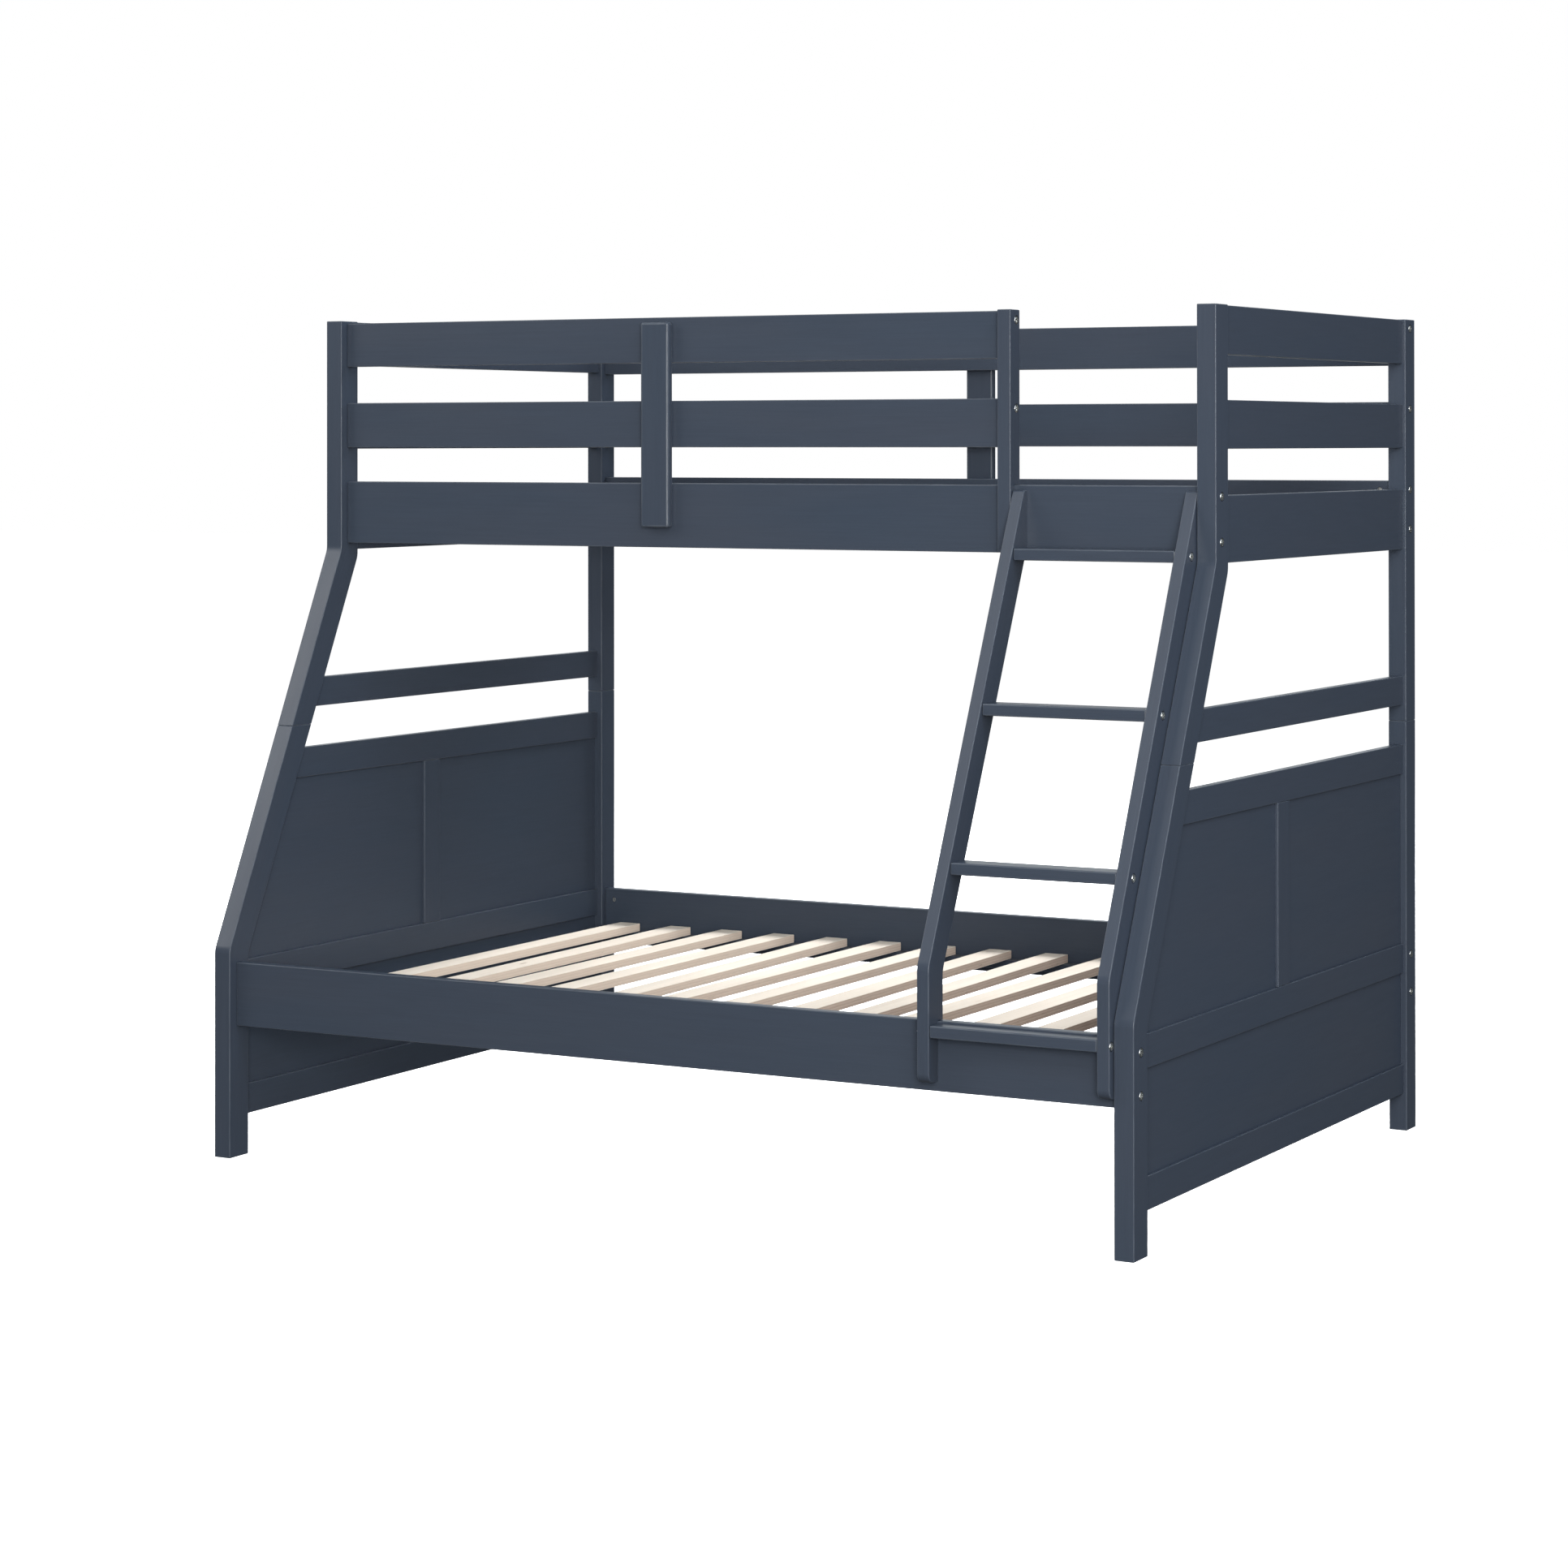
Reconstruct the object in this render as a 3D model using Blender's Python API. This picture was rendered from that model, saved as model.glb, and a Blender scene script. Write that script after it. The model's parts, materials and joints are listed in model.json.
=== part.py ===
"""Bunk bed with ladder: a single bunk over a wider lower bed, in painted solid wood.

Frame: X runs along the bed, Y from the open front (ladder side, -Y) to the back
(+Y), Z up from the floor. The origin is the centre of the footprint, on the floor.
All lengths are in metres.
"""

import math

import bmesh
import bpy
from mathutils import Matrix, Vector

# --------------------------------------------------------------- driving sizes
GAP = 0.0003                 # clearance kept between touching pieces

LENGTH = 2.020               # over the outer faces of the posts, along X
POST_T = 0.0385              # post thickness along X
HEIGHT = 1.700               # floor to the top of the upper posts
SEAM_Z = 0.858               # where the upper bunk stands on the lower bed

BACK_Y = 0.747               # outer face of the back posts
BACK_POST_D = 0.057          # depth of the back posts along Y
LOW_FRONT_Y = -0.731         # front face of the lower front posts, at the floor
LOW_POST_D = 0.061
UP_FRONT_Y = -0.3485         # front face of the upper front posts, at the top
UP_POST_D = 0.059
BEND_LOW_Z = 0.4195          # the front posts lean back from here ...
BEND_UP_Z = 1.218            # ... to here, on their front face
LEAN_D = 0.0665              # depth of the leaning stretch along Y
BEND_R = 0.040               # the bends are eased, not sharp

END_OUT = 1.003              # outer face of the end rails, along X
END_IN = 0.979               # inner face of the upper end rails and guards
LOW_END_IN = 0.985           # inner face of the lower end frame and the cross rail
PANEL_T = 0.005              # end panels, held in grooves of the frame round them
TONGUE = 0.006               # how far a panel goes into its groove

BOTTOM_RAIL_Z = (0.078, 0.139)
MID_RAIL_Z = (0.3305, 0.392)
TOP_RAIL_Z = (0.7475, 0.809)
STILE_Y = (-0.0215, 0.0380)
CROSS_RAIL_Z = (0.892, 0.9525)
END_BUNK_RAIL_Z = (1.2175, 1.3437)
END_MID_GUARD_Z = (1.4305, 1.522)
END_TOP_GUARD_Z = (1.607, 1.699)

RAIL_T = 0.022               # side rails and guard rails
LOW_RAIL_FRONT_Y = -0.709    # front face of the lower front side rail
UP_RAIL_FRONT_Y = -0.3285    # front face of the upper front side rail and guards
BACK_RAIL_IN_Y = 0.705       # inner face of the back side rails and guards
LOW_SIDE_Z = (0.265, 0.393)
UP_SIDE_Z = (1.232, 1.3615)
SIDE_MID_GUARD_Z = (1.4335, 1.527)
SIDE_TOP_GUARD_Z = (1.6035, 1.695)

GUARD_POST_X = (0.561, 0.589)      # short post beside the ladder entry
GUARD_POST_Z = (1.233, 1.697)
FRONT_SUPPORT_X = (-0.2355, -0.1705)
BACK_SUPPORT_X = (-0.034, 0.031)
SUPPORT_Z = (1.2725, 1.685)

SLAT_COUNT = 14
SLAT_PITCH = 0.1375
SLAT_SHIFT = -0.007          # the slats sit slightly towards the left end
SLAT_W = 0.055
SLAT_T = 0.018
SLAT_RISE = 0.033            # side rail's lower edge to the slats' underside
SLAT_END_GAP = 0.004
# Loose slats never lie quite square: how far each one's front end is off to the
# right of its back end, from the left end of the bed to the right, in millimetres.
SLAT_SKEW = (3, 18, 0, 1, 20, -5, 0, 27, 26, -8, 15, 14, 4, -3)
TAPE_T = 0.0012              # webbing tape under the slats' ends
TAPE_W = 0.016
LEDGER_D = 0.022
LEDGER_H = 0.020
LEDGER_HALF = 0.955

STRINGER_T = 0.0245
STRINGER_LEFT_X = 0.5900     # left face of the left stringer
STRINGER_RIGHT_X = 0.9458    # left face of the right stringer
LADDER_FRONT_Y = -0.747      # front face of the ladder's upright stretch
LADDER_LEAN = 0.474          # run in Y for each metre of height
LADDER_REF = (-0.403, 1.220)  # a point on the leaning front face
STRINGER_D = 0.0575          # width of the stringer board, in its upright and its leaning part
LADDER_BOTTOM_Z = 0.2835
FOOT_R = 0.018               # the feet are rounded in front
LADDER_TOP_Z = 1.352
RUNG_Z = (1.231, 0.946, 0.664, 0.3780)
RUNG_H = 0.0225
RUNG_D = 0.054

SEAM_PIN_R = 0.005           # steel pins, half in the lower and half in the upper post
SEAM_PIN_HALF = 0.035
LADDER_PIN_R = 0.004         # steel pegs from the stringers into the upper side rail
LADDER_PIN_Z = 1.290
PIN_SEGMENTS = 24

POST_IN = LENGTH / 2 - POST_T          # inner X face of the posts
BACK_IN_Y = BACK_Y - BACK_POST_D       # inner Y face of the back posts
LOW_REAR_Y = LOW_FRONT_Y + LOW_POST_D
UP_REAR_Y = UP_FRONT_Y + UP_POST_D
LEAN = (UP_FRONT_Y - LOW_FRONT_Y) / (BEND_UP_Z - BEND_LOW_Z)

# ------------------------------------------------------------ an empty scene
for old in list(bpy.data.objects):
    bpy.data.objects.remove(old, do_unlink=True)
for old in list(bpy.data.collections):
    bpy.data.collections.remove(old)

PARTS = bpy.data.collections.new("bunk_bed_with_ladder")
CUTTERS = bpy.data.collections.new("cutters")
bpy.context.scene.collection.children.link(PARTS)
bpy.context.scene.collection.children.link(CUTTERS)
CUTTERS.hide_render = True


def new_material(name, color, roughness, metallic=0.0):
    material = bpy.data.materials.new(name)
    material.use_nodes = True
    shader = material.node_tree.nodes["Principled BSDF"]
    shader.inputs["Base Color"].default_value = (*color, 1.0)
    shader.inputs["Roughness"].default_value = roughness
    shader.inputs["Metallic"].default_value = metallic
    material.diffuse_color = (*color, 1.0)
    return material


def piece_material(name, kind):
    """Each piece has a material of its own, in its kind's colour."""
    color, roughness, metallic = {
        "paint": ((0.062, 0.079, 0.105), 0.38, 0.0),
        "slat": ((0.72, 0.58, 0.42), 0.62, 0.0),
        "steel": ((0.60, 0.60, 0.58), 0.32, 1.0),
    }[kind]
    return new_material(name + "_finish", color, roughness, metallic)


def holder(name, location):
    """An empty that carries the pieces of one body."""
    empty = bpy.data.objects.new(name, None)
    empty.location = location
    empty.empty_display_size = 0.1
    PARTS.objects.link(empty)
    return empty


LOWER = holder("lower_bed_holder", (0.0, 0.0, 0.0))
UPPER = holder("upper_bunk_holder", (0.0, 0.0, SEAM_Z))
LADDER = holder(
    "ladder_holder",
    ((STRINGER_LEFT_X + STRINGER_RIGHT_X + STRINGER_T) / 2, UP_RAIL_FRONT_Y, LADDER_PIN_Z),
)


def place(obj, location, parent, kind):
    """Puts a finished mesh object in the world, under its body's holder."""
    PARTS.objects.link(obj)
    obj.parent = parent
    obj.location = Vector(location) - parent.location
    obj.data.materials.append(piece_material(obj.name, kind))
    return obj


def box_mesh(name, size):
    bm = bmesh.new()
    bmesh.ops.create_cube(bm, size=1.0)
    bmesh.ops.scale(bm, vec=Vector(size), verts=bm.verts)
    mesh = bpy.data.meshes.new(name)
    bm.to_mesh(mesh)
    bm.free()
    return mesh


def board(name, x, y, z, parent, kind="paint"):
    """A straight board from its X, Y and Z limits."""
    limits = (x, y, z)
    size = [high - low for low, high in limits]
    centre = [(high + low) / 2 for low, high in limits]
    return place(bpy.data.objects.new(name, box_mesh(name, size)), centre, parent, kind)


def eased(outline, radii, segments=4):
    """The outline with the corners named in radii (index: radius) turned into arcs."""
    points = []
    count = len(outline)
    for index, corner in enumerate(outline):
        radius = radii.get(index, 0.0)
        if not radius:
            points.append(corner)
            continue
        here = Vector(corner)
        back = (Vector(outline[index - 1]) - here).normalized()
        ahead = (Vector(outline[(index + 1) % count]) - here).normalized()
        half = back.angle(ahead) / 2
        reach = radius / math.tan(half)
        centre = here + (back + ahead).normalized() * (radius / math.sin(half))
        first = here + back * reach - centre
        last = here + ahead * reach - centre
        sweep = first.angle_signed(last)
        for step in range(segments + 1):
            # angle_signed counts clockwise turns as positive.
            turn = Matrix.Rotation(-sweep * step / segments, 2)
            points.append(tuple(centre + turn @ first))
    return points


def outline_mesh(name, outline, thickness):
    """A flat (Y, Z) outline, thickened along X and turned into a closed mesh."""
    curve = bpy.data.curves.new(name + "_outline", "CURVE")
    curve.dimensions = "2D"
    curve.fill_mode = "BOTH"
    curve.extrude = thickness / 2
    spline = curve.splines.new("POLY")
    spline.points.add(len(outline) - 1)
    for point, (y, z) in zip(spline.points, outline):
        point.co = (y, z, 0.0, 1.0)
    spline.use_cyclic_u = True
    guide = bpy.data.objects.new(name + "_outline", curve)
    PARTS.objects.link(guide)
    graph = bpy.context.evaluated_depsgraph_get()
    mesh = bpy.data.meshes.new_from_object(guide.evaluated_get(graph))
    bpy.data.objects.remove(guide, do_unlink=True)
    bpy.data.curves.remove(curve)
    mesh.name = name
    # The outline's own X and Y become the world's Y and Z.
    mesh.transform(Matrix(((0, 0, 1, 0), (1, 0, 0, 0), (0, 1, 0, 0), (0, 0, 0, 1))))
    bm = bmesh.new()
    bm.from_mesh(mesh)
    bmesh.ops.remove_doubles(bm, verts=bm.verts, dist=0.00001)
    bmesh.ops.recalc_face_normals(bm, faces=bm.faces)
    bmesh.ops.dissolve_limit(
        bm, angle_limit=0.001, verts=bm.verts, edges=bm.edges, delimit={"NORMAL"}
    )
    bm.to_mesh(mesh)
    bm.free()
    return mesh


def shaped(name, outline, x, parent, kind="paint"):
    """A board sawn to a (Y, Z) outline, between two X limits."""
    low, high = x
    middle = Vector(
        (
            (low + high) / 2,
            (min(p[0] for p in outline) + max(p[0] for p in outline)) / 2,
            (min(p[1] for p in outline) + max(p[1] for p in outline)) / 2,
        )
    )
    local = [(y - middle.y, z - middle.z) for y, z in outline]
    obj = bpy.data.objects.new(name, outline_mesh(name, local, high - low))
    return place(obj, middle, parent, kind)


def rod_mesh(name, radius, length, axis):
    bm = bmesh.new()
    bmesh.ops.create_cone(
        bm,
        cap_ends=True,
        segments=PIN_SEGMENTS,
        radius1=radius,
        radius2=radius,
        depth=length,
    )
    if axis == "Y":
        bmesh.ops.rotate(
            bm, verts=bm.verts, cent=(0, 0, 0), matrix=Matrix.Rotation(math.pi / 2, 3, "X")
        )
    mesh = bpy.data.meshes.new(name)
    bm.to_mesh(mesh)
    bm.free()
    return mesh


def cutter(name, mesh, location):
    obj = bpy.data.objects.new(name, mesh)
    obj.location = location
    obj.hide_render = True
    obj.display_type = "WIRE"
    CUTTERS.objects.link(obj)
    return obj


def boolean(obj, other, operation):
    modifier = obj.modifiers.new(operation.lower() + "_" + other.name, "BOOLEAN")
    modifier.operation = operation
    modifier.solver = "EXACT"
    modifier.object = other


def both_sides(x):
    """(side name, X limits) for a piece that both ends of the bed have."""
    low, high = x
    return (("left", (-high, -low)), ("right", (low, high)))


# ------------------------------------------------- the leaning front post lines
def front_line(z):
    return UP_FRONT_Y - (BEND_UP_Z - z) * LEAN


def rear_line(z):
    """The front posts' rear face: upright, leaning, then upright again."""
    return min(max(front_line(z) + LEAN_D, LOW_REAR_Y), UP_REAR_Y)


REAR_BEND_LOW_Z = BEND_UP_Z - (UP_FRONT_Y + LEAN_D - LOW_REAR_Y) / LEAN
REAR_BEND_UP_Z = BEND_UP_Z - (UP_FRONT_Y + LEAN_D - UP_REAR_Y) / LEAN
POST_X = (POST_IN, LENGTH / 2)

# ---------------------------------------------------------------------- posts
posts = {}
low_top = SEAM_Z - GAP / 2
up_foot = SEAM_Z + GAP / 2
lower_outline = eased(
    [
        (LOW_FRONT_Y, 0.0),
        (LOW_FRONT_Y, BEND_LOW_Z),
        (front_line(low_top), low_top),
        (front_line(low_top) + LEAN_D, low_top),
        (LOW_REAR_Y, REAR_BEND_LOW_Z),
        (LOW_REAR_Y, 0.0),
    ],
    {1: BEND_R, 4: BEND_R},
)
upper_outline = eased(
    [
        (front_line(up_foot), up_foot),
        (UP_FRONT_Y, BEND_UP_Z),
        (UP_FRONT_Y, HEIGHT),
        (UP_REAR_Y, HEIGHT),
        (UP_REAR_Y, REAR_BEND_UP_Z),
        (front_line(up_foot) + LEAN_D, up_foot),
    ],
    {1: BEND_R, 4: BEND_R},
)
for side, x in both_sides(POST_X):
    posts["lower_front", side] = shaped(f"lower_front_post_{side}", lower_outline, x, LOWER)
    posts["upper_front", side] = shaped(f"upper_front_post_{side}", upper_outline, x, UPPER)
    posts["lower_back", side] = board(
        f"lower_back_post_{side}", x, (BACK_IN_Y, BACK_Y), (0.0, low_top), LOWER
    )
    posts["upper_back", side] = board(
        f"upper_back_post_{side}", x, (BACK_IN_Y, BACK_Y), (up_foot, HEIGHT), UPPER
    )

# ------------------------------------------------------------ end frames' rails
END_X = (END_IN, END_OUT)
LOW_END_X = (LOW_END_IN, END_OUT)


def end_rail(name, side, x, z, parent):
    """A rail across the end, its front end cut to the front post's rear face."""
    low, high = z
    outline = [
        (rear_line(low) + GAP * 1.2, low),
        (BACK_IN_Y - GAP, low),
        (BACK_IN_Y - GAP, high),
        (rear_line(high) + GAP * 1.2, high),
    ]
    return shaped(f"{name}_{side}", outline, x, parent)


rails = {}
for side, x in both_sides(LOW_END_X):
    rails["bottom", side] = end_rail("lower_end_bottom_rail", side, x, BOTTOM_RAIL_Z, LOWER)
    rails["mid", side] = end_rail("lower_end_mid_rail", side, x, MID_RAIL_Z, LOWER)
    rails["top", side] = end_rail("lower_end_top_rail", side, x, TOP_RAIL_Z, LOWER)
    rails["stile", side] = board(
        f"lower_end_stile_{side}", x, STILE_Y, (MID_RAIL_Z[1] + GAP, TOP_RAIL_Z[0] - GAP), LOWER
    )
    end_rail("upper_end_cross_rail", side, x, CROSS_RAIL_Z, UPPER)
for side, x in both_sides(END_X):
    end_rail("upper_end_bunk_rail", side, x, END_BUNK_RAIL_Z, UPPER)
    end_rail("end_mid_guard", side, x, END_MID_GUARD_Z, UPPER)
    end_rail("end_top_guard", side, x, END_TOP_GUARD_Z, UPPER)

# ------------------------------------- end panels and the grooves that hold them
PANEL_MID = (END_OUT + LOW_END_IN) / 2
PANEL_X = (PANEL_MID - PANEL_T / 2, PANEL_MID + PANEL_T / 2)


def panel_outline(front, back, z, grow):
    """(Y, Z) outline of a panel: its opening, plus the tongue, plus grow all round."""
    low, high = z[0] - TONGUE - grow, z[1] + TONGUE + grow
    back = back + TONGUE + grow
    if front is not None:
        front = front - TONGUE - grow
        return [(front, low), (back, low), (back, high), (front, high)]
    inset = (TONGUE + grow) / math.cos(math.atan(LEAN))
    foot = LOW_REAR_Y - TONGUE - grow
    outline = [(foot, low), (back, low), (back, high), (front_line(high) + LEAN_D - inset, high)]
    turn_z = BEND_UP_Z - (UP_FRONT_Y + LEAN_D - inset - foot) / LEAN
    if turn_z > low + 0.001:
        outline.append((foot, turn_z))
    return outline


PANELS = {
    "upper_front": (None, STILE_Y[0], (MID_RAIL_Z[1], TOP_RAIL_Z[0]), ("mid", "top", "stile")),
    "upper_back": (STILE_Y[1], BACK_IN_Y, (MID_RAIL_Z[1], TOP_RAIL_Z[0]), ("mid", "top", "stile")),
    "lower": (LOW_REAR_Y, BACK_IN_Y, (BOTTOM_RAIL_Z[1], MID_RAIL_Z[0]), ("bottom", "mid")),
}
for panel, (front, back, z, held_by) in PANELS.items():
    for side, x in both_sides(PANEL_X):
        shaped(f"lower_end_panel_{panel}_{side}", panel_outline(front, back, z, -GAP), x, LOWER)
        outline = panel_outline(front, back, z, 0.0)
        groove = cutter(
            f"groove_{panel}_{side}",
            outline_mesh(f"groove_{panel}_{side}", outline, PANEL_T + 2 * GAP),
            ((x[0] + x[1]) / 2, 0.0, 0.0),
        )
        for rail in held_by:
            boolean(rails[rail, side], groove, "DIFFERENCE")
        if panel != "upper_back":
            boolean(posts["lower_front", side], groove, "DIFFERENCE")
        if panel != "upper_front":
            boolean(posts["lower_back", side], groove, "DIFFERENCE")

# ------------------------------------------------------------------ side rails
SIDE_X = (-POST_IN + GAP, POST_IN - GAP)
FRONT_LOW_Y = (LOW_RAIL_FRONT_Y, LOW_RAIL_FRONT_Y + RAIL_T)
FRONT_UP_Y = (UP_RAIL_FRONT_Y, UP_RAIL_FRONT_Y + RAIL_T)
BACK_RAIL_Y = (BACK_RAIL_IN_Y, BACK_RAIL_IN_Y + RAIL_T)

board("lower_front_side_rail", SIDE_X, FRONT_LOW_Y, LOW_SIDE_Z, LOWER)
board("lower_back_side_rail", SIDE_X, BACK_RAIL_Y, LOW_SIDE_Z, LOWER)
upper_front_rail = board("upper_front_side_rail", SIDE_X, FRONT_UP_Y, UP_SIDE_Z, UPPER)
board("upper_back_side_rail", SIDE_X, BACK_RAIL_Y, UP_SIDE_Z, UPPER)

# ---------------------------------------------------------------- guard rails
FRONT_GUARD_X = (-POST_IN + GAP, GUARD_POST_X[0] - GAP)
board("front_mid_guard", FRONT_GUARD_X, FRONT_UP_Y, SIDE_MID_GUARD_Z, UPPER)
board("front_top_guard", FRONT_GUARD_X, FRONT_UP_Y, SIDE_TOP_GUARD_Z, UPPER)
board("back_mid_guard", SIDE_X, BACK_RAIL_Y, SIDE_MID_GUARD_Z, UPPER)
board("back_top_guard", SIDE_X, BACK_RAIL_Y, SIDE_TOP_GUARD_Z, UPPER)

# The short post beside the entry laps over the front of the side rail.
shaped(
    "front_guard_post",
    [
        (UP_FRONT_Y, GUARD_POST_Z[0]),
        (UP_RAIL_FRONT_Y - GAP, GUARD_POST_Z[0]),
        (UP_RAIL_FRONT_Y - GAP, UP_SIDE_Z[1] + GAP),
        (UP_RAIL_FRONT_Y + RAIL_T, UP_SIDE_Z[1] + GAP),
        (UP_RAIL_FRONT_Y + RAIL_T, GUARD_POST_Z[1]),
        (UP_FRONT_Y, GUARD_POST_Z[1]),
    ],
    GUARD_POST_X,
    UPPER,
)
board(
    "front_centre_support",
    FRONT_SUPPORT_X,
    (UP_FRONT_Y, UP_RAIL_FRONT_Y - GAP),
    SUPPORT_Z,
    UPPER,
)
board(
    "back_centre_support",
    BACK_SUPPORT_X,
    (BACK_RAIL_IN_Y + RAIL_T + GAP, BACK_Y),
    SUPPORT_Z,
    UPPER,
)

# ----------------------------------------------------- slats and their ledgers
for level, side_z, front_rail_y, skews, parent in (
    ("lower", LOW_SIDE_Z, FRONT_LOW_Y, SLAT_SKEW, LOWER),
    ("upper", UP_SIDE_Z, FRONT_UP_Y, SLAT_SKEW[::-1], UPPER),
):
    slat_low = side_z[0] + SLAT_RISE
    slat_high = slat_low + SLAT_T
    ledger_z = (slat_low - TAPE_T - GAP - LEDGER_H, slat_low - TAPE_T - GAP)
    ledger_x = (-LEDGER_HALF, LEDGER_HALF)
    front_ledger_y = (front_rail_y[1] + GAP, front_rail_y[1] + GAP + LEDGER_D)
    back_ledger_y = (BACK_RAIL_IN_Y - GAP - LEDGER_D, BACK_RAIL_IN_Y - GAP)
    board(f"{level}_front_ledger", ledger_x, front_ledger_y, ledger_z, parent)
    board(f"{level}_back_ledger", ledger_x, back_ledger_y, ledger_z, parent)

    slat_y = (front_rail_y[1] + SLAT_END_GAP, BACK_RAIL_IN_Y - SLAT_END_GAP)
    centres = [
        SLAT_SHIFT + (index - (SLAT_COUNT - 1) / 2) * SLAT_PITCH for index in range(SLAT_COUNT)
    ]
    tape_x = (centres[0] - SLAT_W * 0.4, centres[-1] + SLAT_W * 0.4)
    tape_z = (slat_low - TAPE_T, slat_low + 0.0004)
    front_tape_y = (slat_y[0] + 0.001, slat_y[0] + 0.001 + TAPE_W)
    slats = board(f"{level}_slats", tape_x, front_tape_y, tape_z, parent, "slat")
    back_tape_y = (slat_y[1] - 0.001 - TAPE_W, slat_y[1] - 0.001)
    back_tape = cutter(
        f"{level}_back_tape",
        box_mesh(f"{level}_back_tape", [h - l for l, h in (tape_x, back_tape_y, tape_z)]),
        [(h + l) / 2 for l, h in (tape_x, back_tape_y, tape_z)],
    )
    for index, (centre, skew) in enumerate(zip(centres, skews)):
        skew *= 0.001
        limits = (
            (centre + (skew - SLAT_W) / 2, centre + (skew + SLAT_W) / 2),
            slat_y,
            (slat_low, slat_high),
        )
        slat = cutter(
            f"{level}_slat_{index + 1:02d}",
            box_mesh(f"{level}_slat", [high - low for low, high in limits]),
            [(high + low) / 2 for low, high in limits],
        )
        slat.rotation_euler.z = math.asin(skew / (slat_y[1] - slat_y[0]))
        boolean(slats, slat, "UNION")
    boolean(slats, back_tape, "UNION")

# --------------------------------------------------------------------- ladder
def ladder_front(z):
    return max(LADDER_REF[0] - (LADDER_REF[1] - z) * LADDER_LEAN, LADDER_FRONT_Y)


def ladder_front_z(y):
    return LADDER_REF[1] - (LADDER_REF[0] - y) / LADDER_LEAN


LADDER_BEND_Z = ladder_front_z(LADDER_FRONT_Y)
# A board as wide in its leaning part takes up more depth when it is cut level.
STRINGER_LEAN_D = STRINGER_D * math.hypot(1.0, LADDER_LEAN)
SEAT_Y = UP_RAIL_FRONT_Y - GAP             # the top lies flat on the upper side rail
FOOT_BACK_Y = LOW_RAIL_FRONT_Y - GAP       # the foot hangs in front of the lower rail
NOTCH_Z = LOW_SIDE_Z[1] + GAP              # and a shoulder bears on that rail's edge
stringer_outline = eased(
    [
        (LADDER_FRONT_Y, LADDER_BOTTOM_Z),
        (LADDER_FRONT_Y, LADDER_BEND_Z),
        (ladder_front(LADDER_TOP_Z), LADDER_TOP_Z),
        (SEAT_Y, LADDER_TOP_Z),
        (SEAT_Y, ladder_front_z(SEAT_Y - STRINGER_LEAN_D)),
        (LADDER_FRONT_Y + STRINGER_D, ladder_front_z(LADDER_FRONT_Y + STRINGER_D - STRINGER_LEAN_D)),
        (LADDER_FRONT_Y + STRINGER_D, NOTCH_Z),
        (FOOT_BACK_Y, NOTCH_Z),
        (FOOT_BACK_Y, LADDER_BOTTOM_Z),
    ],
    {0: FOOT_R, 1: 0.045, 2: 0.006, 5: 0.045, 8: 0.005},
)
stringers = []
for side, x in (("left", STRINGER_LEFT_X), ("right", STRINGER_RIGHT_X)):
    stringers.append(
        shaped(f"ladder_stringer_{side}", stringer_outline, (x, x + STRINGER_T), LADDER)
    )
RUNG_X = (STRINGER_LEFT_X + STRINGER_T + GAP, STRINGER_RIGHT_X - GAP)
for index, z in enumerate(RUNG_Z):
    rung_front = ladder_front(z + RUNG_H / 2) + 0.001
    rung_back = rung_front + RUNG_D
    if z + RUNG_H / 2 < NOTCH_Z:
        rung_back = FOOT_BACK_Y - 0.0002
    board(
        f"ladder_rung_{index + 1}",
        RUNG_X,
        (rung_front, rung_back),
        (z - RUNG_H / 2, z + RUNG_H / 2),
        LADDER,
    )

# ------------------------------------------------------- pins and their bores
POST_MID_X = (POST_IN + LENGTH / 2) / 2
front_pin_y = front_line(SEAM_Z) + LEAN_D / 2
back_pin_y = (BACK_IN_Y + BACK_Y) / 2
for side, sign in (("left", -1), ("right", 1)):
    for row, y in (("front", front_pin_y), ("back", back_pin_y)):
        where = (sign * POST_MID_X, y, SEAM_Z)
        name = f"seam_pin_{row}_{side}"
        pin = bpy.data.objects.new(name, rod_mesh(name, SEAM_PIN_R, 2 * SEAM_PIN_HALF, "Z"))
        place(pin, where, LOWER, "steel")
        bore = cutter(
            f"bore_{name}",
            rod_mesh(f"bore_{name}", SEAM_PIN_R + GAP, 2 * (SEAM_PIN_HALF + GAP), "Z"),
            where,
        )
        boolean(posts[f"lower_{row}", side], bore, "DIFFERENCE")
        boolean(posts[f"upper_{row}", side], bore, "DIFFERENCE")

PIN_FRONT_Y = SEAT_Y - 0.022
PIN_BACK_Y = UP_RAIL_FRONT_Y + RAIL_T - 0.001
for stringer, side, x in zip(stringers, ("left", "right"), (STRINGER_LEFT_X, STRINGER_RIGHT_X)):
    name = f"ladder_pin_{side}"
    where = (x + STRINGER_T / 2, (PIN_FRONT_Y + PIN_BACK_Y) / 2, LADDER_PIN_Z)
    pin = bpy.data.objects.new(name, rod_mesh(name, LADDER_PIN_R, PIN_BACK_Y - PIN_FRONT_Y, "Y"))
    place(pin, where, LADDER, "steel")
    bore_front, bore_back = PIN_FRONT_Y - GAP, PIN_BACK_Y + 0.010
    bore = cutter(
        f"bore_{name}",
        rod_mesh(f"bore_{name}", LADDER_PIN_R + GAP, bore_back - bore_front, "Y"),
        (where[0], (bore_front + bore_back) / 2, LADDER_PIN_Z),
    )
    boolean(stringer, bore, "DIFFERENCE")
    boolean(upper_front_rail, bore, "DIFFERENCE")
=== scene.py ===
"""Looks of the bunk bed with ladder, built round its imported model.

Every painted board is made again from its CAD node's own faces, with eased edges, bored
bolt holes and grain that runs along the board. The slats become fourteen separate
laminated boards on two webbing tapes, and the bolts, barrel nuts and dowels are turned
pieces of their own.
"""
import json
import math
import random

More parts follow.
